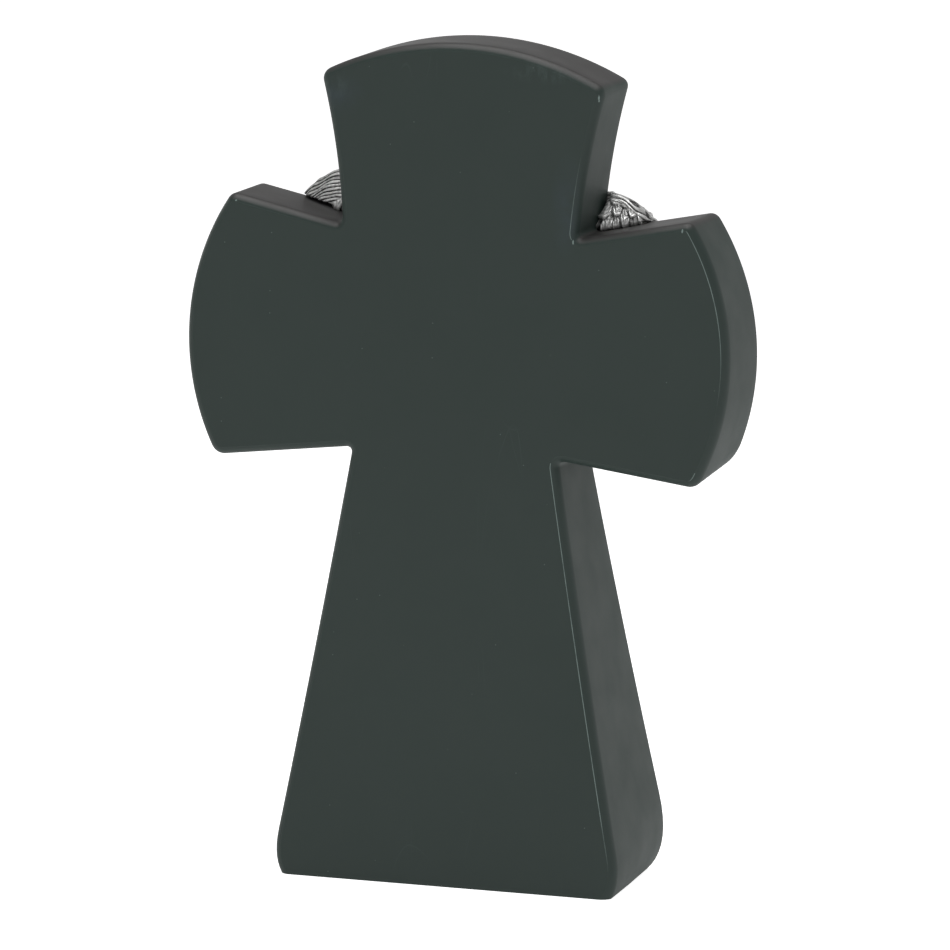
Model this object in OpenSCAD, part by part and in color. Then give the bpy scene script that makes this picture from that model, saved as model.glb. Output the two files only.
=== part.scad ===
// Standing memorial cross with a pair of folded angel wings on its front.
// Z is up, the winged front faces -Y and the flat back faces +Y.
// The origin is the centre of the foot's underside. All sizes are in millimetres.

/* [Cross outline] */
// Height from the underside to the crown of the top arch
height = 330; // [318:1:345]
// Width of the leg at its lowest corners, before they are rounded and cut flat
foot_w = 148; // [140:1:154]
// Width of the leg just below the arms
waist_w = 84; // [76:1:90]
// Height of the inner corners below the arms
waist_z = 170; // [166:1:174]
// Distance between the lower corners of the two arms
arm_low_w = 196; // [186:1:206]
// Height of the lower corners of the arms
arm_low_z = 163; // [160:1:165]
// Distance between the upper corners of the two arms
arm_high_w = 187; // [180:1:194]
// Height of the upper corners of the arms
arm_high_z = 266.5; // [263:0.5:270]
// Width of the upper arm where it rises from the side arms
neck_w = 96; // [90:1:102]
// Height of the inner corners above the arms
neck_z = 257; // [254:1:260]
// Width of the upper arm at its upper corners
crown_w = 116; // [110:1:122]
// How far the top arch rises above its corners
crown_rise = 14.5; // [10:0.5:20]
// How far the end of each side arm bows outwards
end_bow = 14.5; // [10:0.5:19]
// How far the side of the upper arm curves inwards
neck_hollow = 1.5; // [0.5:0.5:3]
// How far the side of the leg curves inwards
leg_hollow = 0.6; // [0.2:0.2:2]

/* [Cross depth] */
// Depth of the foot, front to back
foot_d = 74; // [66:1:80]
// Depth at the height where the front begins to sweep forward
waist_d = 42.5; // [40:0.5:48]
// Depth at the top of the cross
crown_d = 32.5; // [28:0.5:37]
// Height below which the front sweeps forward to the foot
sweep_z = 175; // [165:1:180]

/* [Cross edges] */
// Radius of the rounding between the sides and the lapped back face
back_round = 5; // [3:0.5:5]
// Radius of the rounding between the sides and the front face
front_round = 2; // [1:0.5:2]

/* [Wings] */
// Height of the crest of each wing, above the side arms
crest_z = 273; // [270:0.5:277]
// Distance of each crest from the middle of the pair
crest_x = 52; // [50:0.5:54]
// Distance of the outer shoulder from the middle of the pair
shoulder_x = 75; // [72:1:80]
// Height of the wing tips
wing_tip_z = 112; // [104:1:124]
// Thickness of the wing at the shoulder, in front of the cross
wing_front = 11; // [8:0.5:13]
// How far the shoulder reaches back over the side arm
wing_back = 10; // [7:0.5:12]
// How much further it reaches back where it meets the upper arm
wing_curl = 6; // [2:0.5:7]
// How far the pair sits off the middle of the cross
wing_shift = 2.5; // [0:0.5:3]
// How many degrees the pair is turned, raising the wing on the +X side
wing_tilt = 1.6; // [0:0.2:2]
// Feathers side by side across each wing
feather_count = 7; // [5:1:8]

/* [Hidden] */

back_y = foot_d / 2;
// How far the lowest corners lie below the underside.
foot_drop = 8;
// Part of a quarter turn that the rounding at the back face takes before the face laps over it.
lap_angle = 62;
round_steps = 4;
corner_steps = 8;
// How quickly the front sweeps forward towards the foot: 1 is a plane.
sweep_power = 1.1;

// Corners of the right half of the outline, from the foot to the crown.
corners = [
    [foot_w / 2, -foot_drop],
    [waist_w / 2, waist_z],
    [arm_low_w / 2, arm_low_z],
    [arm_high_w / 2, arm_high_z],
    [neck_w / 2, neck_z],
    [crown_w / 2, height - crown_rise],
    [-crown_w / 2, height - crown_rise]
];
// Outward bow of each side, then how many steps it is divided into.
bows = [-leg_hollow, 0, end_bow, 0, -neck_hollow, crown_rise];
side_steps = [8, 3, 14, 3, 6, 18];
// How far each corner is cut back for its rounding, at the back and at the front.
back_cut = [26, 3, 4, 3, 3, 4];
front_cut = [40, 4, 13, 3, 4, 3];

// Depth of the cross at height z: a leaning plane, with a sweep forward below sweep_z.
lean = (waist_d - crown_d) / (height - sweep_z);
sweep = (foot_d - crown_d - lean * height) / pow(sweep_z, sweep_power);
function depth_at(z) = crown_d + lean * (height - z) + sweep * pow(max(0, sweep_z - z), sweep_power);
function front_y(z) = back_y - depth_at(z);

// Point at fraction t of the arc from a to b that bows out to the right of its path.
function bow_point(a, b, bow, t) =
    let (
        chord = norm(b - a),
        along = (b - a) / chord,
        out = [along.y, -along.x],
        half = 2 * atan(2 * bow / chord),
        turn = (2 * t - 1) * half
    )
    abs(bow) < 0.01
        ? a + (b - a) * t
        : a + along * chord * (0.5 + sin(turn) / (2 * sin(half)))
            + out * chord * (cos(turn) - cos(half)) / (2 * sin(half));
function side_point(k, t) = bow_point(corners[k], corners[k + 1], bows[k], t);
function side_length(k) = norm(corners[k + 1] - corners[k]);

// Rounding at corner k: a quadratic curve between the two sides that meet there.
function corner_round(k, cut) =
    let (
        before = k == 0
            ? corners[0] - [cut, 0]
            : side_point(k - 1, 1 - cut / side_length(k - 1)),
        after = side_point(k, cut / side_length(k))
    )
    [for (i = [0 : corner_steps])
        let (t = i / corner_steps)
        before * pow(1 - t, 2) + corners[k] * 2 * t * (1 - t) + after * pow(t, 2)];

// Open stretch of side k between its two roundings. The last side stops at the crown.
function open_side(k, cuts) =
    let (
        from = cuts[k] / side_length(k),
        to = k == 5 ? 0.5 : 1 - cuts[k + 1] / side_length(k),
        steps = k == 5 ? side_steps[k] / 2 : side_steps[k]
    )
    [for (i = [1 : steps - (k == 5 ? 0 : 1)]) side_point(k, from + (to - from) * i / steps)];

// Whole outline, up the right side, over the crown and down the left side.
function right_half(cuts) = [for (k = [0 : 5]) each concat(corner_round(k, cuts[k]), open_side(k, cuts))];
function mirrored(points) = [for (i = [len(points) - 2 : -1 : 0]) [-points[i].x, points[i].y]];
function outline(cuts) = let (right = right_half(cuts)) concat(right, mirrored(right));

// The outline moved inwards by a distance, along its own normals.
function inset(points, distance) =
    let (n = len(points))
    [for (i = [0 : n - 1])
        let (
            run = points[(i + 1) % n] - points[(i + n - 1) % n],
            normal = [run.y, -run.x] / norm(run)
        )
        points[i] - normal * distance];

// Rings of the body from the back face to the front face:
// [inset, distance from the back, distance from the front, share of the front's rounding]
back_flank = back_round * sin(lap_angle);
back_rings = [for (i = [0 : round_steps])
    let (a = lap_angle * (1 - i / round_steps))
    [back_round * (1 - cos(a)), back_flank - back_round * sin(a), undef, 0]];
front_rings = [for (i = [0 : round_steps])
    let (a = 90 * i / round_steps)
    [front_round * (1 - cos(a)), undef, front_round * (1 - sin(a)), 1]];
rings = concat(back_rings, front_rings);
function ring_y(ring, z) = is_undef(ring[2]) ? back_y - ring[1] : front_y(z) + ring[2];
function ring_points(ring) =
    let (cuts = back_cut * (1 - ring[3]) + front_cut * ring[3])
    [for (p = inset(outline(cuts), ring[0])) [p.x, ring_y(ring, p.y), p.y]];

ring_size = len(outline(back_cut));
ring_count = len(rings);

// Places in a ring: the middle of corner k's rounding, and the crown.
function points_before(k) = k == 0 ? 0 : points_before(k - 1) + corner_steps + side_steps[k - 1];
function corner_middle(k) = points_before(k) + corner_steps / 2;
crown = (ring_size - 1) / 2;
waist = corner_middle(1);
neck = corner_middle(4);
function across(i) = ring_size - 1 - i;

// Strips of a face, seen with its outline running anticlockwise: level bands up the leg,
// across the middle and up the neck, and upright bands along both arms.
arm_bands = floor((neck - waist) / 2);
rises = concat(
    [for (i = [0 : waist - 1]) [i, i + 1]],
    [[waist, neck]],
    [for (i = [neck : crown - 1]) [i, i + 1]]);
face_bands = concat(
    [for (rise = rises) rise[1] == crown
        ? [rise[0], crown, across(rise[0])]
        : [rise[0], rise[1], across(rise[1]), across(rise[0])]],
    [for (i = [0 : arm_bands - 1]) [waist + i, waist + i + 1, neck - i - 1, neck - i]],
    [for (i = [0 : arm_bands - 1])
        [across(neck - i), across(neck - i - 1), across(waist + i + 1), across(waist + i)]]);
function reversed(list) = [for (i = [len(list) - 1 : -1 : 0]) list[i]];

// Body before its underside is cut flat.
module body_blank() {
    points = [for (ring = rings) each ring_points(ring)];
    last = (ring_count - 1) * ring_size;
    walls = [for (r = [0 : ring_count - 2], i = [0 : ring_size - 1])
        let (j = (i + 1) % ring_size)
        [r * ring_size + i, r * ring_size + j, (r + 1) * ring_size + j, (r + 1) * ring_size + i]];
    back_face = [for (band = face_bands) reversed(band)];
    front_face = [for (band = face_bands) [for (i = band) last + i]];
    polyhedron(points, concat(walls, back_face, front_face), convexity = 6);
}

// The cast cross, standing on its flat underside.
module cross_body() {
    color([0.2, 0.235, 0.225])
        difference() {
            body_blank();
            translate([0, 0, -height / 2]) cube([2 * foot_w, 2 * foot_d, height], center = true);
        }
}

// Distance of a place in front of the cross from the corner between a side arm and the neck:
// positive only above the arm and beside the neck, where a wing can reach back past the front.
arm_slope = (arm_high_z - neck_z) / (arm_high_w - neck_w) * 2;
neck_slope = (crown_w - neck_w) / 2 / (height - crown_rise - neck_z);
reach_ramp = 4;
function above_arm(x, z) = z - neck_z - arm_slope * (x - neck_w / 2);
function beside_neck(x, z) = x - neck_w / 2 - neck_slope * (z - neck_z);
function reach_back(x, z) = min(1, max(0, min(above_arm(x, z), beside_neck(x, z)) / reach_ramp));

// Wing planform: feathers run down from the top curve (u 0) to the tips (u 1).
// Across the wing, v runs from 0 at the outer edge to 1 at the inner edge.
root_x = 5;
root_z = 226;
shoulder_z = 256;
tip_x = 24;
tip_rise = 66;
tip_power = 1.35;
// Guide points below the top curve and above the tips, on the outer edge and on the inner edge.
outer_guides = [[shoulder_x + 6, 222], [28, 172]];
inner_guides = [[root_x, 216], [root_x, 198]];
function blend3(a, b, c, d, t) =
    a * pow(1 - t, 3) + b * 3 * t * pow(1 - t, 2) + c * 3 * pow(t, 2) * (1 - t) + d * pow(t, 3);
function wing_top(v) = blend3(
    [shoulder_x, shoulder_z],
    [shoulder_x - 12, crest_z + 2],
    [crest_x - 8, crest_z + 18],
    [root_x, root_z],
    v);
function guide(i, v) = outer_guides[i] * (1 - v) + inner_guides[i] * v;
function wing_tips(v) = [tip_x * (1 - v) + root_x * v, wing_tip_z + tip_rise * pow(v, tip_power)];
function wing_point(u, v) = blend3(wing_top(v), guide(0, v), guide(1, v), wing_tips(v), u);

// Height of the feathers above the cross at a place on the wing.
thinning = 0.62;
feather_rise = 1.5;
tier_rise = 1.2;
tier_ends = [0.24, 0.5];
edge_height = 0.6;
function in_feather(v) = v * feather_count - floor(min(v * feather_count, feather_count - 0.001));
function feather_crown(v) = sqrt(max(0, 1 - pow(2 * in_feather(v) - 1, 2)));
function tiers_over(edge) = len([for (end = tier_ends) if (edge < end) end]);
function edge_fall(u, v) = sqrt(max(0, 1 - pow(2 * v - 1, 10))) * sqrt(max(0, 1 - pow(2 * u - 1, 12)));
function relief(u, v) =
    feather_rise * feather_crown(v) * min(1, 5 * u) + tier_rise * tiers_over(u - 0.05 * feather_crown(v));
function wing_height(u, v) =
    (wing_front * (1 - thinning * u) - feather_rise - tier_rise * len(tier_ends) + relief(u, v))
    * edge_fall(u, v) + edge_height;

// The shoulder and its rim curl back over the side arm, most of all low down beside the neck.
curl_rise = 18;
curl_width = 22;
upper_reach = 0.25;
rim_lift = 4;
function near(distance, reach) = 1 - min(1, max(0, distance / reach));
function back_reach(x, z) =
    let (
        low = near(above_arm(x, z), curl_rise),
        curl = wing_curl * low * near(beside_neck(x, z), curl_width)
    )
    (wing_back * (upper_reach + (1 - upper_reach) * low) + curl) * reach_back(x, z);
function rim_back(u, x, z) = rim_lift * max(0, 1 - 3 * u) * reach_back(x, z);
function wing_front_y(u, v, x, z) =
    front_y(z) - wing_height(u, v) + rim_back(u, x, z) * (1 - edge_fall(u, v));
function wing_back_y(u, v, x, z) =
    let (rim = rim_back(u, x, z))
    front_y(z) + rim + (back_reach(x, z) - rim) * edge_fall(u, v);

// The planform turned about the middle of the arms.
turn_z = 257;
function turned(p, tilt) = [
    p.x * cos(tilt) - (p.y - turn_z) * sin(tilt),
    turn_z + p.x * sin(tilt) + (p.y - turn_z) * cos(tilt)
];

// One wing on the +X side, turned by tilt and moved sideways by shift.
u_steps = 26;
v_steps = feather_count * 4;
module wing_solid(shift, tilt) {
    rows = u_steps + 1;
    columns = v_steps + 1;
    places = [for (i = [0 : u_steps], j = [0 : v_steps])
        let (u = i / u_steps, v = j / v_steps, p = turned(wing_point(u, v), tilt))
        [u, v, p.x + shift, p.y]];
    front = [for (p = places) [p[2], wing_front_y(p[0], p[1], p[2], p[3]), p[3]]];
    back = [for (p = places) [p[2], wing_back_y(p[0], p[1], p[2], p[3]), p[3]]];
    total = rows * columns;
    front_faces = [for (i = [0 : u_steps - 1], j = [0 : v_steps - 1])
        let (k = i * columns + j) [k, k + 1, k + columns + 1, k + columns]];
    back_faces = [for (f = front_faces) [f[3] + total, f[2] + total, f[1] + total, f[0] + total]];
    rim = concat(
        [for (j = [0 : v_steps]) j],
        [for (i = [1 : u_steps]) i * columns + v_steps],
        [for (j = [v_steps - 1 : -1 : 0]) u_steps * columns + j],
        [for (i = [u_steps - 1 : -1 : 1]) i * columns]);
    rim_faces = [for (i = [0 : len(rim) - 1])
        let (a = rim[i], b = rim[(i + 1) % len(rim)]) [b, a, a + total, b + total]];
    polyhedron(concat(front, back), concat(front_faces, back_faces, rim_faces), convexity = 8);
}

// A wing lying on the front and over the top of a side arm: side 0 is +X and side 1 is -X.
module wing(side) {
    sign = 1 - 2 * side;
    color([0.62, 0.62, 0.6]) mirror([side, 0, 0]) wing_solid(wing_shift * sign, wing_tilt * sign);
}

module left_wing() {
    wing(0);
}

module right_wing() {
    wing(1);
}

cross_body();
left_wing();
right_wing();
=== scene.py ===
"""Looks of the standing memorial cross: a matte painted casting with a pair of antiqued silver wings.

The frame is the row's: +Z up, the winged front towards -Y and the flat back towards +Y.
Shapes are worked out in millimetres and turned into metres when a mesh is made.
"""

import math

import bmesh
import bpy
import numpy as np
from mathutils import Matrix, Vector


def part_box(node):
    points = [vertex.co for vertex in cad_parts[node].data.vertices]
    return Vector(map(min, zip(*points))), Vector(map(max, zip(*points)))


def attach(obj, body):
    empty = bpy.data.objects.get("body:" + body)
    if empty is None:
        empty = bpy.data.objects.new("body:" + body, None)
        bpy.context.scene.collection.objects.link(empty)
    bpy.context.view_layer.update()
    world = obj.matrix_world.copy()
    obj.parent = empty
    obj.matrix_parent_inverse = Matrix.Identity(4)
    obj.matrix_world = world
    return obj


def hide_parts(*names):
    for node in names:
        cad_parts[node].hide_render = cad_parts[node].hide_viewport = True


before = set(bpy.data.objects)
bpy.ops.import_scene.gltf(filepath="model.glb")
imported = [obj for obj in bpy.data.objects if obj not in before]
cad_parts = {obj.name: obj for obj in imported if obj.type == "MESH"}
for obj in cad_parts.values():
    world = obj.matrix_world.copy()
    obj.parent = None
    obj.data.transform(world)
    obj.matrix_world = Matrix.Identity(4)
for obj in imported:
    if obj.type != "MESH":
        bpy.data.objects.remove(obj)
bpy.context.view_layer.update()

MM = 0.001
body_low, body_high = (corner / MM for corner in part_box("cross_body"))
HEIGHT = body_high.z
BACK_Y = body_high.y
FOOT_D = body_high.y - body_low.y

# Outline of the cross, as in the CAD source.
FOOT_W, WAIST_W, WAIST_Z = 148, 84, 170
ARM_LOW_W, ARM_LOW_Z = 196, 163
ARM_HIGH_W, ARM_HIGH_Z = 187, 266.5
NECK_W, NECK_Z = 96, 257
CROWN_W, CROWN_RISE = 116, 14.5
END_BOW, NECK_HOLLOW, LEG_HOLLOW = 14.5, 1.5, 0.6
WAIST_D, CROWN_D, SWEEP_Z, SWEEP_POWER = 42.5, 32.5, 175, 1.1
BACK_ROUND, FRONT_ROUND = 5, 2
FOOT_DROP, LAP_ANGLE = 8, math.radians(62)
ARRIS_W = 0.24

# Wings, as in the CAD source.
CREST_X, CREST_Z, SHOULDER_X, ROOT_X = 52, 273, 75, 5
WING_TIP_Z, WING_FRONT, WING_BACK, WING_CURL = 112, 11, 10, 6
WING_SHIFT, WING_TILT, TURN_Z = 2.5, math.radians(1.6), 257
SHOULDER_Z, ROOT_Z, TIP_X, TIP_RISE, TIP_POWER = 256, 226, 24, 66, 1.35
CURL_RISE, CURL_WIDTH, UPPER_REACH, RIM_LIFT = 18, 22, 0.25, 4
THINNING, RELIEF_ROOM, EDGE_HEIGHT = 0.62, 2.6, 0.6
REACH_RAMP = 1.5

CORNERS = np.array([
    [FOOT_W / 2, -FOOT_DROP],
    [WAIST_W / 2, WAIST_Z],
    [ARM_LOW_W / 2, ARM_LOW_Z],
    [ARM_HIGH_W / 2, ARM_HIGH_Z],
    [NECK_W / 2, NECK_Z],
    [CROWN_W / 2, HEIGHT - CROWN_RISE],
    [-CROWN_W / 2, HEIGHT - CROWN_RISE],
])
BOWS = [-LEG_HOLLOW, 0, END_BOW, 0, -NECK_HOLLOW, CROWN_RISE]
BACK_CUT = np.array([26, 3, 4, 3, 3, 4])
FRONT_CUT = np.array([40, 4, 13, 3, 4, 3])
SIDE_STEPS = [48, 12, 56, 14, 24, 64]
CORNER_STEPS = 16


# ---------------------------------------------------------------- the cast cross
def front_y(z):
    """Y of the front face at height z: a leaning plane, sweeping forward to the foot."""
    lean = (WAIST_D - CROWN_D) / (HEIGHT - SWEEP_Z)
    sweep = (FOOT_D - CROWN_D - lean * HEIGHT) / SWEEP_Z**SWEEP_POWER
    return BACK_Y - (CROWN_D + lean * (HEIGHT - z) + sweep * np.maximum(0, SWEEP_Z - z) ** SWEEP_POWER)


def side_points(k, t):
    """Points at fractions t of side k, an arc that bows outwards."""
    a, b, bow = CORNERS[k], CORNERS[k + 1], BOWS[k]
    t = np.atleast_1d(t)[:, None]
    if bow == 0:
        return a + (b - a) * t
    chord = np.linalg.norm(b - a)
    along = (b - a) / chord
    out = np.array([along[1], -along[0]])
    half = 2 * math.atan(2 * bow / chord)
    turn = (2 * t - 1) * half
    rise = (np.cos(turn) - math.cos(half)) / (2 * math.sin(half))
    return a + along * chord * (0.5 + np.sin(turn) / (2 * math.sin(half))) + out * chord * rise


def side_length(k):
    return np.linalg.norm(CORNERS[k + 1] - CORNERS[k])


def corner_round(k, cut):
    """Rounding at corner k: a quadratic curve between the two sides that meet there."""
    before = CORNERS[0] - [cut, 0] if k == 0 else side_points(k - 1, 1 - cut / side_length(k - 1))[0]
    after = side_points(k, cut / side_length(k))[0]
    t = np.linspace(0, 1, CORNER_STEPS + 1)[:, None]
    return before * (1 - t) ** 2 + CORNERS[k] * 2 * t * (1 - t) + after * t**2


def open_side(k, cuts):
    """Side k between its two roundings. The last side stops at the crown."""
    start = cuts[k] / side_length(k)
    stop = 0.5 if k == 5 else 1 - cuts[k + 1] / side_length(k)
    steps = SIDE_STEPS[k] // 2 if k == 5 else SIDE_STEPS[k]
    last = steps if k == 5 else steps - 1
    return side_points(k, start + (stop - start) * np.arange(1, last + 1) / steps)


def outline(cuts):
    right = np.vstack([part for k in range(6) for part in (corner_round(k, cuts[k]), open_side(k, cuts))])
    return np.vstack([right, right[-2::-1] * [-1, 1]])


def outline_normals(points):
    run = np.roll(points, -1, axis=0) - np.roll(points, 1, axis=0)
    return np.stack([run[:, 1], -run[:, 0]], axis=1) / np.linalg.norm(run, axis=1)[:, None]


def ring(points, inset, y):
    """A ring of the body: the outline moved inwards, at depth y (a number, or a function of height)."""
    moved = points - outline_normals(points) * inset
    depth = y(moved[:, 1]) if callable(y) else np.full(len(moved), y)
    return np.stack([moved[:, 0], depth, moved[:, 1]], axis=1)


def body_rings():
    """Rings from the lapped back face, over the worn arris, flank, side and front rounding."""
    back_outline, front_outline = outline(BACK_CUT), outline(FRONT_CUT)
    flank = BACK_ROUND * math.sin(LAP_ANGLE)
    rings = [ring(back_outline, BACK_ROUND * (1 - math.cos(LAP_ANGLE)) + ARRIS_W, BACK_Y)]
    for a in np.linspace(LAP_ANGLE, 0, 11):
        drop = flank - BACK_ROUND * math.sin(a) + (0.12 if a == LAP_ANGLE else 0)
        rings.append(ring(back_outline, BACK_ROUND * (1 - math.cos(a)), BACK_Y - drop))
    front_rings = []
    for a in np.linspace(0, math.pi / 2, 9):
        lift = FRONT_ROUND * (1 - math.sin(a))
        inset = FRONT_ROUND * (1 - math.cos(a))
        front_rings.append(ring(front_outline, inset, lambda z, lift=lift: front_y(z) + lift))
    side_start = rings[-1]
    for t in np.linspace(0, 1, 8)[1:-1]:
        rings.append(side_start * (1 - t) + front_rings[0] * t)
    return rings + front_rings


def face_bands(size):
    """Strips that fill a ring: level bands up the leg and neck, upright bands along both arms."""
    def corner_middle(k):
        return k * CORNER_STEPS + sum(SIDE_STEPS[:k]) + CORNER_STEPS // 2

    def across(i):
        return size - 1 - i

    waist, neck, crown = corner_middle(1), corner_middle(4), (size - 1) // 2
    rises = [(i, i + 1) for i in range(waist)] + [(waist, neck)] + [(i, i + 1) for i in range(neck, crown)]
    bands = [[a, b, across(b), across(a)] if b < crown else [a, crown, across(a)] for a, b in rises]
    for i in range((neck - waist) // 2):
        arm = list(dict.fromkeys([waist + i, waist + i + 1, neck - i - 1, neck - i]))
        bands += [arm, [across(j) for j in reversed(arm)]]
    return bands


def arris_wear_and_highlight(points, normals):
    """How bright the back's arris is: rubbed paint all along it, and a painted highlight on the edges that
    face -X.
    """
    x, z = points.T
    facing = np.clip(-normals[:, 0], 0, 1) ** 2
    leg = (z < WAIST_Z) * np.clip((z - 12) / 25, 0, 1)
    arm_end = (np.abs(x) > NECK_W / 2 + 20) * np.clip((z - 196) / 40, 0, 1)
    neck = (z > NECK_Z) * np.clip(1 - (z - NECK_Z) / 34, 0, 1) * 0.8
    return 0.02 + facing * np.maximum.reduce([leg, arm_end, neck])


def mesh_object(name, vertices, faces):
    mesh = bpy.data.meshes.new(name)
    mesh.from_pydata((np.asarray(vertices) * MM).tolist(), [], faces)
    obj = bpy.data.objects.new(name, mesh)
    bpy.context.scene.collection.objects.link(obj)
    return obj


def cut_flat(mesh):
    """Cuts the underside flat at z = 0 and closes it with one face."""
    work = bmesh.new()
    work.from_mesh(mesh)
    everything = work.verts[:] + work.edges[:] + work.faces[:]
    bmesh.ops.bisect_plane(work, geom=everything, plane_co=(0, 0, 0), plane_no=(0, 0, 1), clear_inner=True)
    rim = [edge for edge in work.edges if edge.is_boundary]
    bmesh.ops.edgeloop_fill(work, edges=rim)
    for edge in rim:
        edge.smooth = False
    bmesh.ops.recalc_face_normals(work, faces=work.faces[:])
    work.to_mesh(mesh)
    work.free()


def build_body():
    rings = body_rings()
    size = len(rings[0])
    last = (len(rings) - 1) * size
    walls = []
    for r in range(len(rings) - 1):
        for i in range(size):
            j = (i + 1) % size
            walls.append([r * size + i, r * size + j, (r + 1) * size + j, (r + 1) * size + i])
    bands = face_bands(size)
    caps = [list(reversed(band)) for band in bands] + [[last + i for i in band] for band in bands]
    obj = mesh_object("painted_cross", np.vstack(rings), walls + caps)
    mesh = obj.data
    wear_and_highlight = np.zeros(len(walls) + len(caps), np.float32)
    arris = rings[0][:, [0, 2]]
    # The arris strip's brightness: rubbed paint plus a painted highlight on the edges that face -X.
    wear_and_highlight[:size] = arris_wear_and_highlight(arris, outline_normals(arris))
    mesh.attributes.new("arris", "FLOAT", "FACE").data.foreach_set("value", wear_and_highlight)
    mesh.polygons.foreach_set("use_smooth", np.ones(len(wear_and_highlight), bool))
    sharp = mesh.attributes.new("sharp_edge", "BOOLEAN", "EDGE")
    for edge in mesh.edges:
        a, b = edge.vertices
        sharp.data[edge.index].value = max(a, b) < size or min(a, b) >= last
    cut_flat(mesh)
    return obj


# ---------------------------------------------------------------- the wings
U_DENSE, U_STEPS, V_STEPS = 0.18, 280, 208
BACK_STEPS, BACK_SKIP = 104, 11
ROW_COUNT = 12
STRAND_PITCH = 1.35
rng = np.random.default_rng(11)
FEATHER_SHIFT = rng.uniform(-1, 1, (ROW_COUNT + 1, 16))


def blend3(a, b, c, d, t):
    return a * (1 - t) ** 3 + b * 3 * t * (1 - t) ** 2 + c * 3 * t**2 * (1 - t) + d * t**3


def wing_plan(u, v):
    """X and Z on a wing: feathers run down from the crest (u 0) to the tips (u 1)."""
    top_x = blend3(SHOULDER_X, SHOULDER_X - 12, CREST_X - 8, ROOT_X, v)
    top_z = blend3(SHOULDER_Z, CREST_Z + 2, CREST_Z + 18, ROOT_Z, v)
    tip_x = TIP_X * (1 - v) + ROOT_X * v
    tip_z = WING_TIP_Z + TIP_RISE * v**TIP_POWER
    upper_x, upper_z = (a * (1 - v) + b * v for a, b in zip((SHOULDER_X + 6, 222), (ROOT_X, 216)))
    lower_x, lower_z = (a * (1 - v) + b * v for a, b in zip((28, 172), (ROOT_X, 198)))
    return blend3(top_x, upper_x, lower_x, tip_x, u), blend3(top_z, upper_z, lower_z, tip_z, u)


def clearances(x, z):
    """Distances above a side arm and beside the neck."""
    arm_slope = (ARM_HIGH_Z - NECK_Z) / (ARM_HIGH_W - NECK_W) * 2
    neck_slope = (CROWN_W - NECK_W) / 2 / (HEIGHT - CROWN_RISE - NECK_Z)
    above = z - NECK_Z - arm_slope * (x - NECK_W / 2)
    return above, x - NECK_W / 2 - neck_slope * (z - NECK_Z)


def reach_back(x, z):
    """1 above a side arm and beside the neck, where the wing can reach back past the front."""
    above, beside = clearances(x, z)
    return np.clip(np.minimum(above, beside) / REACH_RAMP, 0, 1)


def back_reach(x, z):
    """How far a wing reaches back: most of all low down beside the neck."""
    above, beside = clearances(x, z)
    low = 1 - np.clip(above / CURL_RISE, 0, 1)
    close = 1 - np.clip(beside / CURL_WIDTH, 0, 1)
    reach = WING_BACK * (UPPER_REACH + (1 - UPPER_REACH) * low)
    return (reach + WING_CURL * low * close) * reach_back(x, z)


def edge_fall(u, v):
    return np.sqrt(np.clip(1 - (2 * v - 1) ** 10, 0, 1)) * np.sqrt(np.clip(1 - (2 * u - 1) ** 12, 0, 1))


def wing_surface(u, v, side, back):
    """Points of the plain wing on that side, on its front or on its back."""
    flat_x, flat_z = wing_plan(u, v)
    tilt = WING_TILT * side
    x = flat_x * math.cos(tilt) - (flat_z - TURN_Z) * math.sin(tilt) + WING_SHIFT * side
    z = TURN_Z + flat_x * math.sin(tilt) + (flat_z - TURN_Z) * math.cos(tilt)
    fall = edge_fall(u, v)
    rim = RIM_LIFT * np.maximum(0, 1 - 3 * u) * reach_back(x, z)
    if back:
        y = front_y(z) + rim + (back_reach(x, z) - rim) * fall
    else:
        thickness = (WING_FRONT * (1 - THINNING * u) - RELIEF_ROOM) * fall + EDGE_HEIGHT
        y = front_y(z) - thickness + rim * (1 - fall)
    return np.stack([x, y, z], axis=-1)


def row_tip(r):
    return 0.026 * r + 0.0004 * r**3


def feathers(u, v, length, width):
    """Relief in mm, tone (0 in the dark recesses, 1 on the rubbed edges) and barb phase."""
    height = np.zeros_like(u)
    tone = np.full_like(u, 0.5)
    barb = np.zeros_like(u)
    for r in range(ROW_COUNT, 0, -1):
        count = 15 if r < 6 else 10 if r < 9 else 7
        place = v * count + 0.5 * (r % 2)
        index = np.floor(place).astype(int)
        w = 2 * (place - index) - 1
        jitter = FEATHER_SHIFT[r, index % 16]
        span = row_tip(r) - row_tip(r - 1)
        tip = row_tip(r) + span * (0.28 * jitter - 0.42 * w**2)
        half_width = width / (2 * count)
        to_tip = (tip - u) * length
        to_side = (1 - np.abs(w)) * half_width
        edge = np.minimum(to_tip, to_side * 1.4)
        along = np.clip((u - tip + 1.7 * span) / (1.7 * span), 0, 1)
        crown = np.sqrt(np.clip(1 - w**2, 0, 1))
        rim = np.exp(-((edge - 0.75) / 0.4) ** 2)
        gap = np.exp(-((edge / 0.35) ** 2))
        shaft = np.exp(-((np.abs(w) * half_width / 0.35) ** 2))
        lift = 1.1 + 0.06 * r
        shape = lift * along + 0.8 * crown + 0.22 * rim - 0.5 * gap + 0.2 * shaft
        shade = 0.45 + 0.2 * crown * along + 0.5 * rim - 0.5 * gap + 0.12 * shaft
        over = to_tip > 0
        beyond = np.clip(-to_tip / 1.3, 0, 1)
        height = np.where(over, shape, height)
        tone = np.where(over, shade, tone * (0.3 + 0.7 * beyond))
        barb = np.where(over, u * length * 0.75 + np.abs(w) * half_width * 0.9, barb)
    return height, tone, barb


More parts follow.
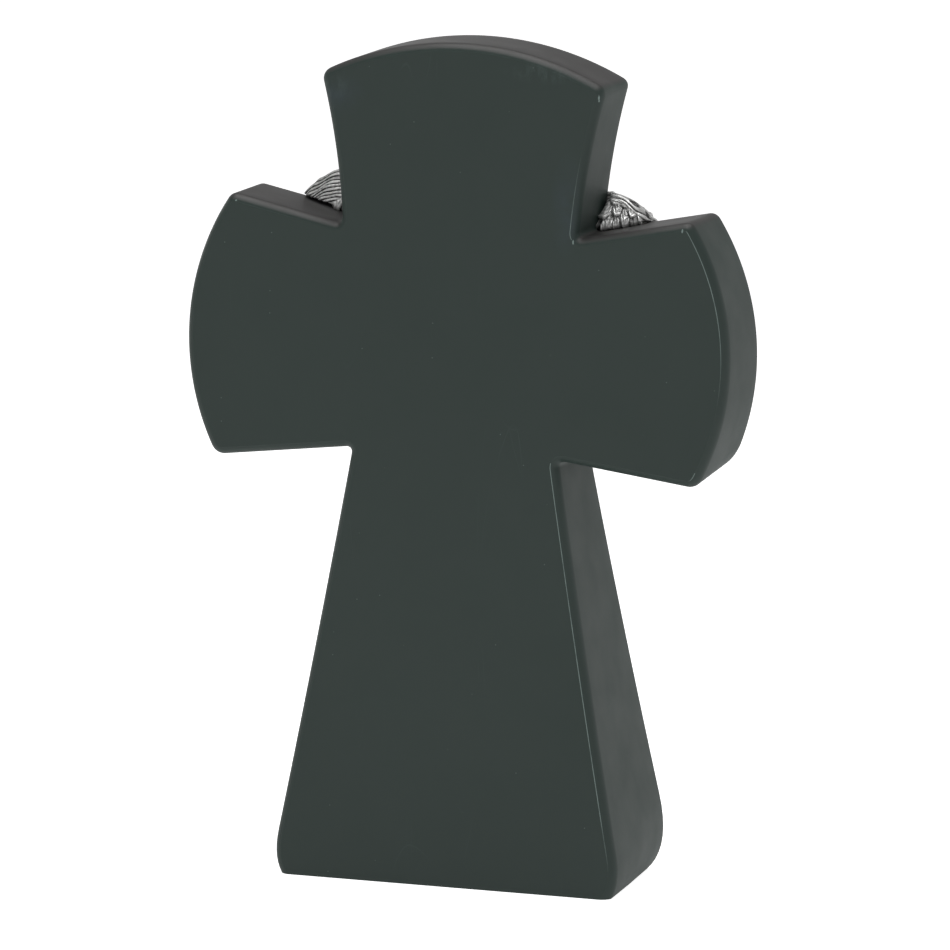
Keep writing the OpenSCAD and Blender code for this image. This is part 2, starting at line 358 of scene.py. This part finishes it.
def crest_strands(u, v, length, t_mm, spread, fade):
    """The leading edge: long strands that run along the crest, spread wider at the outer shoulder."""
    s = u * length
    wander = 0.8 * np.sin(t_mm / 9 + 1) + 0.5 * np.sin(t_mm / 4.1 + s / 5)
    wander = wander + 0.25 * np.sin(t_mm / 1.9 + s / 2)
    phase = (s * (1 + 0.25 * v) + wander) / STRAND_PITCH
    ridge = np.abs(np.cos(math.pi * phase)) ** 0.7
    strand = np.floor(phase + 0.5)
    breaks = 0.5 + 0.5 * np.sin(t_mm / 2.6 + 5 * np.sin(strand * 2.4))
    height = 0.55 * ridge * (0.55 + 0.45 * breaks) + 0.15 * np.sin(strand * 1.9)
    tone = 0.42 + 0.1 * breaks + 0.09 * np.sin(strand * 2.7)
    band = spread * np.clip(1 - v / fade, 0, 1) ** 0.8 + 3
    inside = np.clip((band - s) / 1.2, 0, 1)
    return height, tone, phase, inside


def wing_sheet(side):
    """One sheet over the crest: up the back from U_DENSE to the rim, then down the whole front."""
    v = np.linspace(0, 1, V_STEPS + 1)
    u_back = np.linspace(U_DENSE, 0, BACK_STEPS + 1)
    u_front = np.concatenate([np.linspace(0, U_DENSE, BACK_STEPS + 1)[:-1],
                              np.linspace(U_DENSE, 1, U_STEPS - BACK_STEPS + 1)])
    grids = []
    for u_line, back in ((u_back, True), (u_front, False)):
        u, w = np.meshgrid(u_line, v, indexing="ij")
        grids.append((u, w, wing_surface(u, w, side, back)))
    u = np.vstack([grids[0][0], grids[1][0]])
    w = np.vstack([grids[0][1], grids[1][1]])
    base = np.vstack([grids[0][2], grids[1][2]])
    return u, w, base, u_front


def sheet_normals(base):
    down, along = np.gradient(base, axis=0), np.gradient(base, axis=1)
    normal = np.cross(along, down)
    return normal / np.maximum(np.linalg.norm(normal, axis=2), 1e-9)[..., None]


def smooth_rows(normal, rounds):
    """Softens the turn of the normals over the rim."""
    for _ in range(rounds):
        normal[1:-1] = (normal[:-2] + normal[1:-1] * 2 + normal[2:]) / 4
    return normal / np.maximum(np.linalg.norm(normal, axis=2), 1e-9)[..., None]


def build_wing(name, side, spread, fade):
    """One wing: side 1 is +X and side -1 is -X. Its crest strands spread to the v of fade."""
    u, v, base, u_front = wing_sheet(side)
    ends = [np.stack(wing_plan(u, np.full_like(u, e)), axis=-1) for e in (0, 1)]
    width = np.linalg.norm(ends[0] - ends[1], axis=2)
    length = 168 - 62 * v
    t_mm = v * width
    height, tone, barb = feathers(u, v, length, width)
    strand_height, strand_tone, phase, strands = crest_strands(u, v, length, t_mm, spread, fade)
    rows_back = np.arange(len(u))[:, None] <= BACK_STEPS
    strands = np.where(rows_back, strands, strands * np.clip((6 - u * length) / 3, 0, 1))
    height = height * (1 - strands) + strand_height * strands
    tone = tone * (1 - strands) + strand_tone * strands
    normal = smooth_rows(sheet_normals(base), 6)
    outward = np.where(normal[BACK_STEPS + 60, V_STEPS // 2, 1] < 0, 1, -1)
    amount = np.minimum(1, np.minimum(v, 1 - v) * 18) * np.minimum(1, (1 - u) * 14)
    clear = np.where(rows_back, reach_back(base[..., 0], base[..., 2]) ** 0.7, 1)
    sheet = base + normal * (outward * amount * clear * height)[..., None]
    looks = {"tone": tone, "barb": barb * (1 - strands), "phase": phase, "strands": strands}
    return wing_object(name, side, sheet, looks, u_front)


def wing_object(name, side, sheet, looks, u_front):
    rows, columns = sheet.shape[:2]
    coarse_u = u_front[BACK_STEPS::BACK_SKIP]
    coarse_u = np.append(coarse_u[coarse_u < 1 - 1e-6], 1)[1:]
    u, v = np.meshgrid(coarse_u, np.linspace(0, 1, V_STEPS + 1), indexing="ij")
    coarse = wing_surface(u, v, side, True)
    vertices = np.vstack([sheet.reshape(-1, 3), coarse.reshape(-1, 3)])

    def spot(i, j):
        return i * columns + j

    def coarse_spot(i, j):
        return spot(0, j) if i < 0 else rows * columns + i * columns + j

    faces = [[spot(i, j), spot(i, j + 1), spot(i + 1, j + 1), spot(i + 1, j)]
             for i in range(rows - 1) for j in range(columns - 1)]
    for i in range(-1, len(coarse_u) - 1):
        for j in range(columns - 1):
            below, above = coarse_spot(i + 1, j), coarse_spot(i, j)
            faces.append([below, coarse_spot(i + 1, j + 1), coarse_spot(i, j + 1), above])
    crest = BACK_STEPS + 1
    for j in (0, columns - 1):
        for k in range(BACK_STEPS):
            front, back = crest + k, BACK_STEPS - k
            faces.append([spot(front, j), spot(front + 1, j), spot(back - 1, j), spot(back, j)])
        for i in range(-1, len(coarse_u) - 1):
            first = crest + BACK_STEPS + (i + 1) * BACK_SKIP
            stop = min(first + BACK_SKIP, rows - 1)
            fine_side = [spot(k, j) for k in range(first, stop + 1)]
            faces.append(fine_side + [coarse_spot(i + 1, j), coarse_spot(i, j)])
    tip = len(coarse_u) - 1
    for j in range(columns - 1):
        front_tip = [spot(rows - 1, j), spot(rows - 1, j + 1)]
        faces.append(front_tip + [coarse_spot(tip, j + 1), coarse_spot(tip, j)])
    vertices[:, 0] *= side
    obj = mesh_object(name, vertices, faces)
    mesh = obj.data
    spare = len(vertices) - sheet.shape[0] * sheet.shape[1]
    for label, values in looks.items():
        data = np.concatenate([values.ravel(), np.zeros(spare)]).astype(np.float32)
        mesh.attributes.new(label, "FLOAT", "POINT").data.foreach_set("value", data)
    mesh.polygons.foreach_set("use_smooth", np.ones(len(mesh.polygons), bool))
    work = bmesh.new()
    work.from_mesh(mesh)
    bmesh.ops.recalc_face_normals(work, faces=work.faces[:])
    work.to_mesh(mesh)
    work.free()
    return obj


# ---------------------------------------------------------------- materials
class Nodes:
    """Short calls for building one material's node tree."""

    def __init__(self, name):
        self.material = bpy.data.materials.new(name)
        self.material.use_nodes = True
        self.tree = self.material.node_tree
        self.shader = self.tree.nodes["Principled BSDF"]

    def put(self, socket, value):
        if isinstance(value, bpy.types.NodeSocket):
            self.tree.links.new(value, socket)
        else:
            socket.default_value = value

    def add(self, kind, inputs=None, **settings):
        node = self.tree.nodes.new(kind)
        for key, value in settings.items():
            setattr(node, key, value)
        for key, value in (inputs or {}).items():
            self.put(node.inputs[key], value)
        return node

    def math(self, operation, a, b=0.0):
        return self.add("ShaderNodeMath", {0: a, 1: b}, operation=operation).outputs[0]

    def scale_to(self, value, low, high, to_low=0.0, to_high=1.0):
        """value going from low to high becomes to_low to to_high, and stays between them."""
        spread = {"Value": value, "From Min": low, "From Max": high, "To Min": to_low, "To Max": to_high}
        return self.add("ShaderNodeMapRange", spread).outputs[0]

    def mix(self, factor, a, b):
        node = self.add("ShaderNodeMix", data_type="RGBA")
        self.put(node.inputs[0], factor)
        self.put(node.inputs[6], a)
        self.put(node.inputs[7], b)
        return node.outputs[2]

    def noise(self, vector, scale, detail=3.0, roughness=0.55):
        inputs = {"Vector": vector, "Scale": scale, "Detail": detail, "Roughness": roughness}
        return self.add("ShaderNodeTexNoise", inputs).outputs["Fac"]

    def attribute(self, name):
        return self.add("ShaderNodeAttribute", attribute_name=name).outputs["Fac"]

    def place(self):
        return self.add("ShaderNodeTexCoord").outputs["Object"]

    def stretched(self, vector, rotation, scale):
        inputs = {"Vector": vector, "Rotation": rotation, "Scale": scale}
        return self.add("ShaderNodeMapping", inputs).outputs[0]

    def spot(self, vector, centre, size):
        """1 at a centre in mm, falling to 0 at the ellipsoid of the given half sizes in mm."""
        kind = "ShaderNodeVectorMath"
        centre_m, size_m = [c * MM for c in centre], [s * MM for s in size]
        near = self.add(kind, {0: vector, 1: centre_m}, operation="SUBTRACT").outputs[0]
        scaled = self.add(kind, {0: near, 1: size_m}, operation="DIVIDE").outputs[0]
        far = self.add(kind, {0: scaled}, operation="LENGTH").outputs["Value"]
        return self.scale_to(far, 1.0, 0.0)

    def bump(self, height, distance, strength=1.0, normal=None):
        inputs = {"Height": height, "Distance": distance, "Strength": strength}
        if normal is not None:
            inputs["Normal"] = normal
        return self.add("ShaderNodeBump", inputs).outputs[0]


PAINT = (0.0196, 0.0335, 0.0284, 1)
PAINT_LIGHT = (0.0236, 0.0382, 0.0330, 1)
# Rubbed bare paint for the chips, and also the colour of the painted highlight along the back's arris.
RUBBED_AND_HIGHLIGHT = (0.19, 0.25, 0.235, 1)
# Lighter neutral grey for the upward faces: a painted sheen that stands in for the tops' reflection of the
# bright surroundings.
PAINTED_TOP_SHEEN = (0.041, 0.040, 0.039, 1)
SCUFF = (0.060, 0.085, 0.080, 1)
BLUISH = (0.030, 0.046, 0.055, 1)
DUST = (0.13, 0.17, 0.16, 1)


def facing(n, axis, low, high):
    """0 to 1 as the surface turns towards an axis."""
    normal = n.add("ShaderNodeTexCoord").outputs["Normal"]
    return n.scale_to(n.add("ShaderNodeSeparateXYZ", {0: normal}).outputs[axis], low, high)


def corner_chips(n, place):
    """Small bare chips where two edges of the back meet."""
    back = BACK_Y
    chips = [
        ((-CROWN_W / 2 + 2.4, back, HEIGHT - CROWN_RISE - 3.5), (0.5, 3, 2.6)),
        ((-NECK_W / 2 + 1.2, back, NECK_Z - 1.2), (0.5, 2, 1.5)),
        ((ARM_HIGH_W / 2 - 2.6, back, ARM_HIGH_Z - 3.0), (0.7, 2, 0.5)),
        ((-ARM_HIGH_W / 2 + 2.8, back, ARM_HIGH_Z - 3.4), (0.45, 2, 1.3)),
    ]
    total = 0.0
    for centre, size in chips:
        total = n.math("MAXIMUM", total, n.spot(place, centre, size))
    ragged = n.noise(place, 1100, 3)
    return n.scale_to(n.math("ADD", total, n.math("MULTIPLY", ragged, 0.9)), 0.72, 0.95)


def edge_scuffs(n, place):
    """Rubbed patches along the top of the back face."""
    back = BACK_Y
    right = n.spot(place, (-33, back, HEIGHT - 9.5), (17, 3, 4.5))
    left = n.spot(place, (CROWN_W / 2 - 6, back, HEIGHT - CROWN_RISE - 5), (8, 3, 5))
    grain = n.noise(n.stretched(place, (0, 0.6, 0), (330, 330, 120)), 1.0, 5, 0.7)
    return n.math("MULTIPLY", n.math("MAXIMUM", right, left), n.scale_to(grain, 0.45, 0.75))


def blue_smudges(n, place):
    """Faint cool smudges on the back, beside the neck and in the top corner."""
    back = BACK_Y
    neck = n.spot(place, (-NECK_W / 2 + 4, back, NECK_Z + 13), (7, 3, 22))
    corner = n.spot(place, (CROWN_W / 2 - 8, back, HEIGHT - CROWN_RISE - 8), (12, 3, 9))
    cloud = n.noise(place, 95, 4)
    return n.math("MULTIPLY", n.math("MAXIMUM", neck, corner), n.scale_to(cloud, 0.35, 0.65))


def dust_specks(n, place):
    """Sparse specks of dust under half a millimetre across."""
    upright = n.stretched(place, (math.pi / 2, 0, 0), (1, 1, 1))
    cells = n.add("ShaderNodeTexVoronoi", {"Vector": upright, "Scale": 105.0}, voronoi_dimensions="2D")
    close = n.scale_to(cells.outputs["Distance"], 0.03, 0.016)
    close = n.math("MULTIPLY", close, facing(n, "Y", 0.9, 0.95))
    chosen = n.add("ShaderNodeSeparateColor", {0: cells.outputs["Color"]}).outputs[0]
    return n.math("MULTIPLY", close, n.scale_to(chosen, 0.9, 0.97))


def fine_scratches(n, place):
    """A few hair scratches that wander over the faces."""
    lines = 0.0
    for turn, seed in ((0.5, 3.1), (-0.35, 7.7), (1.2, 5.2)):
        flow = n.stretched(place, (0.2, turn, seed), (26, 26, 3.5))
        band = n.noise(flow, 1.0, 1)
        line = n.scale_to(n.math("ABSOLUTE", n.math("SUBTRACT", band, 0.5)), 0.0011, 0.0004)
        lines = n.math("MAXIMUM", lines, line)
    return n.math("MULTIPLY", lines, n.scale_to(n.noise(place, 24, 2), 0.56, 0.66))


def body_paint():
    n = Nodes("charcoal_green_paint")
    place = n.place()
    broad = n.noise(place, 7, 3)
    mottle = n.noise(place, 60, 4)
    cloud = n.math("ADD", broad, n.math("MULTIPLY", mottle, 0.5))
    colour = n.mix(n.scale_to(cloud, 0.5, 1.0), PAINT, PAINT_LIGHT)
    tops = facing(n, "Z", 0.45, 0.85)
    # Upward faces turn a lighter neutral grey: a painted sheen where the tops reflect the bright
    # surroundings.
    colour = n.mix(tops, colour, PAINTED_TOP_SHEEN)
    colour = n.mix(n.math("MULTIPLY", blue_smudges(n, place), 0.75), colour, BLUISH)
    scuffs = edge_scuffs(n, place)
    colour = n.mix(scuffs, colour, SCUFF)
    scratches = fine_scratches(n, place)
    colour = n.mix(n.math("MULTIPLY", scratches, 0.15), colour, SCUFF)
    # Rubbed paint plus a painted highlight along the arris, strongest on the edges that face -X.
    worn_and_highlight = n.math("MULTIPLY", n.attribute("arris"), n.scale_to(n.noise(place, 160, 4), 0.3, 0.5, 0.45, 1.0))
    colour = n.mix(worn_and_highlight, colour, RUBBED_AND_HIGHLIGHT)
    colour = n.mix(corner_chips(n, place), colour, RUBBED_AND_HIGHLIGHT)
    colour = n.mix(n.math("MULTIPLY", dust_specks(n, place), 0.6), colour, DUST)
    n.put(n.shader.inputs["Base Color"], colour)
    rough = n.scale_to(n.math("ADD", mottle, n.math("MULTIPLY", scuffs, 0.3)), 0.3, 0.9, 0.52, 0.64)
    n.put(n.shader.inputs["Roughness"], n.math("SUBTRACT", rough, n.math("MULTIPLY", tops, 0.08)))
    wavy = n.bump(broad, 0.0004, 0.5)
    grain = n.bump(n.noise(place, 1300, 3), 0.00002, 0.6, wavy)
    n.put(n.shader.inputs["Normal"], n.bump(scratches, 0.00003, 0.5, grain))
    n.shader.inputs["IOR"].default_value = 1.45
    return n.material


def antique_silver():
    n = Nodes("antique_silver_paint")
    place = n.place()
    fine = n.noise(place, 900, 4, 0.6)
    patch = n.noise(place, 140, 3)
    barbs = n.math("SINE", n.math("MULTIPLY", n.attribute("barb"), 5.2))
    tone = n.math("ADD", n.attribute("tone"), n.math("MULTIPLY", barbs, 0.09))
    tone = n.math("ADD", tone, n.scale_to(fine, 0.3, 0.7, -0.22, 0.22))
    tone = n.math("ADD", tone, n.scale_to(patch, 0.3, 0.7, -0.1, 0.1))
    strand = n.math("ABSOLUTE", n.math("COSINE", n.math("MULTIPLY", n.attribute("phase"), math.pi)))
    ridge = n.math("MULTIPLY", n.scale_to(strand, 0.1, 0.75, -0.42, 0.2), n.attribute("strands"))
    tone = n.math("ADD", tone, ridge)
    ramp = n.add("ShaderNodeValToRGB", {0: tone})
    stops = [(0.03, 0.025), (0.18, 0.11), (0.38, 0.36), (0.6, 0.6), (0.85, 0.85)]
    for i, (at, grey) in enumerate(stops):
        element = ramp.color_ramp.elements[i] if i < 2 else ramp.color_ramp.elements.new(at)
        element.position = at
        element.color = (grey, grey, grey * 0.985, 1)
    n.put(n.shader.inputs["Base Color"], ramp.outputs[0])
    n.put(n.shader.inputs["Roughness"], n.scale_to(tone, 0.1, 0.9, 0.6, 0.36))
    n.shader.inputs["Metallic"].default_value = 0.7
    barb_bump = n.bump(barbs, 0.00012, 0.6, n.bump(ridge, 0.0006, 0.8))
    n.put(n.shader.inputs["Normal"], n.bump(fine, 0.00018, 0.7, barb_bump))
    return n.material


def stage_white():
    """A pale floor that shows as a studio's white sweep and gives off a little light of its own."""
    n = Nodes("pale_floor")
    n.tree.nodes.remove(n.shader)
    sees = n.add("ShaderNodeLightPath").outputs["Is Camera Ray"]
    strength = n.scale_to(sees, 0.0, 1.0, 0.43, 0.95)
    matte = n.add("ShaderNodeBsdfDiffuse", {"Color": (0.75, 0.75, 0.75, 1)}).outputs[0]
    glow = n.add("ShaderNodeEmission", {"Color": (1, 1, 1, 1), "Strength": strength})
    both = n.add("ShaderNodeAddShader", {0: matte, 1: glow.outputs[0]}).outputs[0]
    output = next(node for node in n.tree.nodes if node.type == "OUTPUT_MATERIAL")
    n.put(output.inputs["Surface"], both)
    return n.material


# ---------------------------------------------------------------- stage, light and camera
def build_floor():
    mesh = bpy.data.meshes.new("floor")
    reach = 9
    corners = [(-reach, -reach, 0), (reach, -reach, 0), (reach, reach, 0), (-reach, reach, 0)]
    mesh.from_pydata(corners, [], [[0, 1, 2, 3]])
    floor = bpy.data.objects.new("floor", mesh)
    bpy.context.scene.collection.objects.link(floor)
    floor.data.materials.append(stage_white())


def build_world(horizon, zenith):
    """White to the camera, and a soft sky that darkens upwards for light and reflections."""
    world = bpy.data.worlds.new("studio")
    world.use_nodes = True
    bpy.context.scene.world = world
    tree = world.node_tree
    background = tree.nodes["Background"]
    place = tree.nodes.new("ShaderNodeTexCoord")
    split = tree.nodes.new("ShaderNodeSeparateXYZ")
    sky = tree.nodes.new("ShaderNodeMapRange")
    path = tree.nodes.new("ShaderNodeLightPath")
    strength = tree.nodes.new("ShaderNodeMapRange")
    for socket, value in (("From Max", 0.5), ("To Min", horizon), ("To Max", zenith)):
        sky.inputs[socket].default_value = value
    strength.inputs["To Max"].default_value = 1.0
    tree.links.new(place.outputs["Generated"], split.inputs[0])
    tree.links.new(split.outputs["Z"], sky.inputs["Value"])
    tree.links.new(sky.outputs[0], strength.inputs["To Min"])
    tree.links.new(path.outputs["Is Camera Ray"], strength.inputs["Value"])
    background.inputs["Color"].default_value = (1, 1, 1, 1)
    tree.links.new(strength.outputs[0], background.inputs["Strength"])


def softbox(name, place, aim, size, power):
    light = bpy.data.lights.new(name, "AREA")
    light.shape = "RECTANGLE"
    light.size, light.size_y = size
    light.energy = power
    obj = bpy.data.objects.new(name, light)
    obj.location = place
    obj.rotation_euler = (Vector(aim) - Vector(place)).to_track_quat("-Z", "Y").to_euler()
    obj.visible_camera = False
    bpy.context.scene.collection.objects.link(obj)


def build_lights():
    middle = (0, 0, HEIGHT * MM * 0.6)
    softbox("overhead", (0, 0, 1.5), middle, (1.2, 1.2), 15)
    softbox("back_left", (1.1, 1.3, 0.6), middle, (0.9, 0.9), 1.2)
    softbox("back_right", (-1.0, 1.4, 0.6), middle, (0.9, 0.9), 1.1)
    softbox("front_left", (1.3, -1.1, 0.35), middle, (0.9, 0.6), 2)
    softbox("front_right", (-1.3, -1.1, 0.35), middle, (0.9, 0.6), 0.6)


def build_camera():
    """A long lens behind the cross, a little above it and to its -X side."""
    azimuth, elevation, roll = (math.radians(a) for a in (198.128, 8.642, 1.319))
    distance = 5.4548
    lens, sensor = 531.16, 36
    depth = BACK_Y * MM - 0.034
    middle = Vector((0, depth, HEIGHT * MM / 2))
    aim = Vector((0.001863, depth, 0.157207))
    flat = math.cos(elevation)
    back = Vector((math.sin(azimuth) * flat, -math.cos(azimuth) * flat, math.sin(elevation)))
    place = middle + back * distance
    forward = (aim - place).normalized()
    right = forward.cross(Vector((0, 0, 1))).normalized()
    up = right.cross(forward)
    turned_right = right * math.cos(roll) + up * math.sin(roll)
    turned_up = up * math.cos(roll) - right * math.sin(roll)
    data = bpy.data.cameras.new("camera")
    data.lens, data.sensor_width, data.clip_end = lens, sensor, 100
    camera = bpy.data.objects.new("camera", data)
    turn = Matrix((turned_right, turned_up, -forward)).transposed().to_4x4()
    camera.matrix_world = Matrix.Translation(place) @ turn
    bpy.context.scene.collection.objects.link(camera)
    bpy.context.scene.camera = camera


def dress(obj, material, node):
    obj.data.materials.append(material)
    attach(obj, "root")
    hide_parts(node)


dress(build_body(), body_paint(), "cross_body")
silver = antique_silver()
dress(build_wing("feathered_wing_left", 1, 19, 0.6), silver, "left_wing")
dress(build_wing("feathered_wing_right", -1, 12, 0.2), silver, "right_wing")
build_floor()
build_world(1.0, 0.12)
build_lights()
build_camera()
bpy.context.scene.view_settings.view_transform = "Standard"
